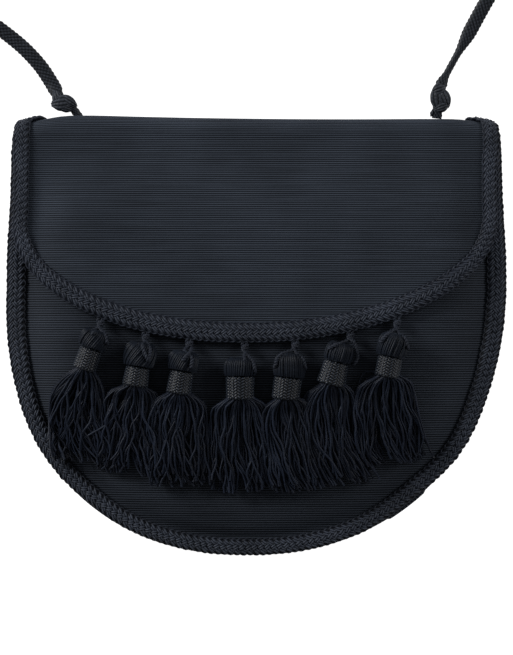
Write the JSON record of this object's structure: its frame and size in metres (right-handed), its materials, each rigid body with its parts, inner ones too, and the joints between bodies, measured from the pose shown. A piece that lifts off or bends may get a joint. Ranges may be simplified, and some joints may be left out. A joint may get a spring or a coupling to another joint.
{
  "type": "crossbody bag",
  "caption": "D-shaped evening bag in ribbed cloth lying on its back: folded flap with plaited braid edging, a row of tassels under the flap, and a knotted flat cord strap.",
  "frame": {"origin": "on the surface the bag lies on, under the middle of the bag without its strap", "axes": "+Z out of the bag's front, away from the surface it lies on; +Y towards the folded top edge; +X to the right as seen from the front"},
  "size_m": [0.2848, 0.3648, 0.0257],
  "materials": {
    "ribbed_cloth": "black ribbed faille with fine cross ribs, matte with a faint sheen",
    "plaited_braid": "black plaited braid, satin strands",
    "tassel_thread": "black twisted rayon thread, soft sheen",
    "braided_cord": "black flat tubular braided cord, satin"
  },
  "bodies": {
    "root": {"back_panel": "ribbed_cloth", "front_panel": "ribbed_cloth", "flap": "ribbed_cloth", "body_braid": "plaited_braid", "flap_braid": "plaited_braid", "tassel_1_loop": "tassel_thread", "tassel_1_head": "tassel_thread", "tassel_1_collar": "tassel_thread", "tassel_1_skirt": "tassel_thread", "tassel_2_loop": "tassel_thread", "tassel_2_head": "tassel_thread", "tassel_2_collar": "tassel_thread", "tassel_2_skirt": "tassel_thread", "tassel_3_loop": "tassel_thread", "tassel_3_head": "tassel_thread", "tassel_3_collar": "tassel_thread", "tassel_3_skirt": "tassel_thread", "tassel_4_loop": "tassel_thread", "tassel_4_head": "tassel_thread", "tassel_4_collar": "tassel_thread", "tassel_4_skirt": "tassel_thread", "tassel_5_loop": "tassel_thread", "tassel_5_head": "tassel_thread", "tassel_5_collar": "tassel_thread", "tassel_5_skirt": "tassel_thread", "tassel_6_loop": "tassel_thread", "tassel_6_head": "tassel_thread", "tassel_6_collar": "tassel_thread", "tassel_6_skirt": "tassel_thread", "tassel_7_loop": "tassel_thread", "tassel_7_head": "tassel_thread", "tassel_7_collar": "tassel_thread", "tassel_7_skirt": "tassel_thread", "strap_cord": "braided_cord", "strap_end_left": "braided_cord", "strap_end_right": "braided_cord", "knot_left": "braided_cord", "knot_right": "braided_cord"}
  },
  "joints": []
}
